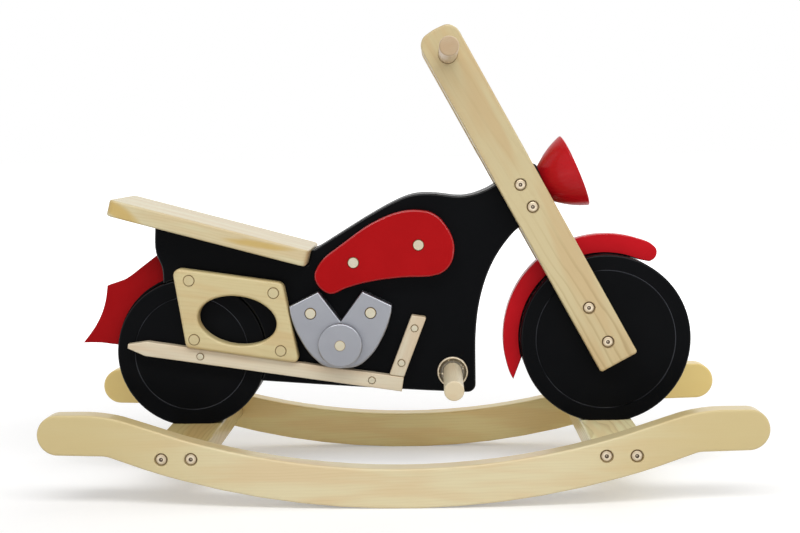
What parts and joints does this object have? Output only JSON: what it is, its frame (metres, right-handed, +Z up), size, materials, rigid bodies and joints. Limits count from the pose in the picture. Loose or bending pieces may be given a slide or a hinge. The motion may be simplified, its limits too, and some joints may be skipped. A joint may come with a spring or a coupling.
{
  "type": "rocking motorcycle",
  "caption": "Child's rocking motorcycle of painted plywood and pine: layered body, wheels and fork between curved runners, with a plank seat, dowel handlebar and foot peg.",
  "frame": {"origin": "on the floor, midway between the two runners and below the middle of their length", "axes": "+X forward to the headlight, +Y to the rider's left, +Z up"},
  "size_m": [0.78, 0.31, 0.5183],
  "materials": {
    "pine": "clear satin lacquer",
    "beech": "bare, fine grain",
    "black_paint": "black semi-gloss paint",
    "red_paint": "red gloss paint",
    "silver_paint": "silver-grey satin paint",
    "steel": "plated"
  },
  "bodies": {
    "root": {"runner_left": "pine", "runner_right": "pine", "crossbar_rear": "pine", "runner_bolt_rear_1_left": "steel", "runner_bolt_rear_1_right": "steel", "runner_bolt_rear_2_left": "steel", "runner_bolt_rear_2_right": "steel", "crossbar_front": "pine", "runner_bolt_front_1_left": "steel", "runner_bolt_front_1_right": "steel", "runner_bolt_front_2_left": "steel", "runner_bolt_front_2_right": "steel", "body_core": "black_paint", "body_side_left": "black_paint", "body_side_right": "black_paint", "rear_wheel_disc_left": "black_paint", "rear_wheel_disc_right": "black_paint", "rear_fender": "red_paint", "front_wheel_disc_left": "black_paint", "front_wheel_disc_right": "black_paint", "front_wheel_core": "black_paint", "front_fender": "red_paint", "seat": "pine", "fork_leg_left": "pine", "fork_leg_right": "pine", "fork_bolt_axle": "steel", "fork_bolt_wheel": "steel", "fork_bolt_nose_lower": "steel", "fork_bolt_nose_upper": "steel", "handlebar": "beech", "tank_left": "red_paint", "tank_right": "red_paint", "engine_left": "silver_paint", "engine_right": "silver_paint", "engine_case_left": "silver_paint", "engine_case_right": "silver_paint", "window_board_left": "pine", "window_board_right": "pine", "exhaust_pipe_left": "pine", "exhaust_pipe_right": "pine", "strip_left": "pine", "strip_right": "pine", "dowel_tank_rear": "beech", "dowel_tank_front": "beech", "dowel_engine_rear": "beech", "dowel_engine_front": "beech", "dowel_engine_case": "beech", "dowel_window_board_1": "beech", "dowel_window_board_2": "beech", "dowel_window_board_3": "beech", "dowel_window_board_4": "beech", "dowel_pipe_rear": "beech", "dowel_pipe_front": "beech", "dowel_strip_bottom": "beech", "dowel_strip_top": "beech", "foot_peg": "pine", "foot_peg_washer_left": "steel", "foot_peg_washer_right": "steel", "headlight": "red_paint", "headlight_dowel": "beech"}
  },
  "joints": []
}
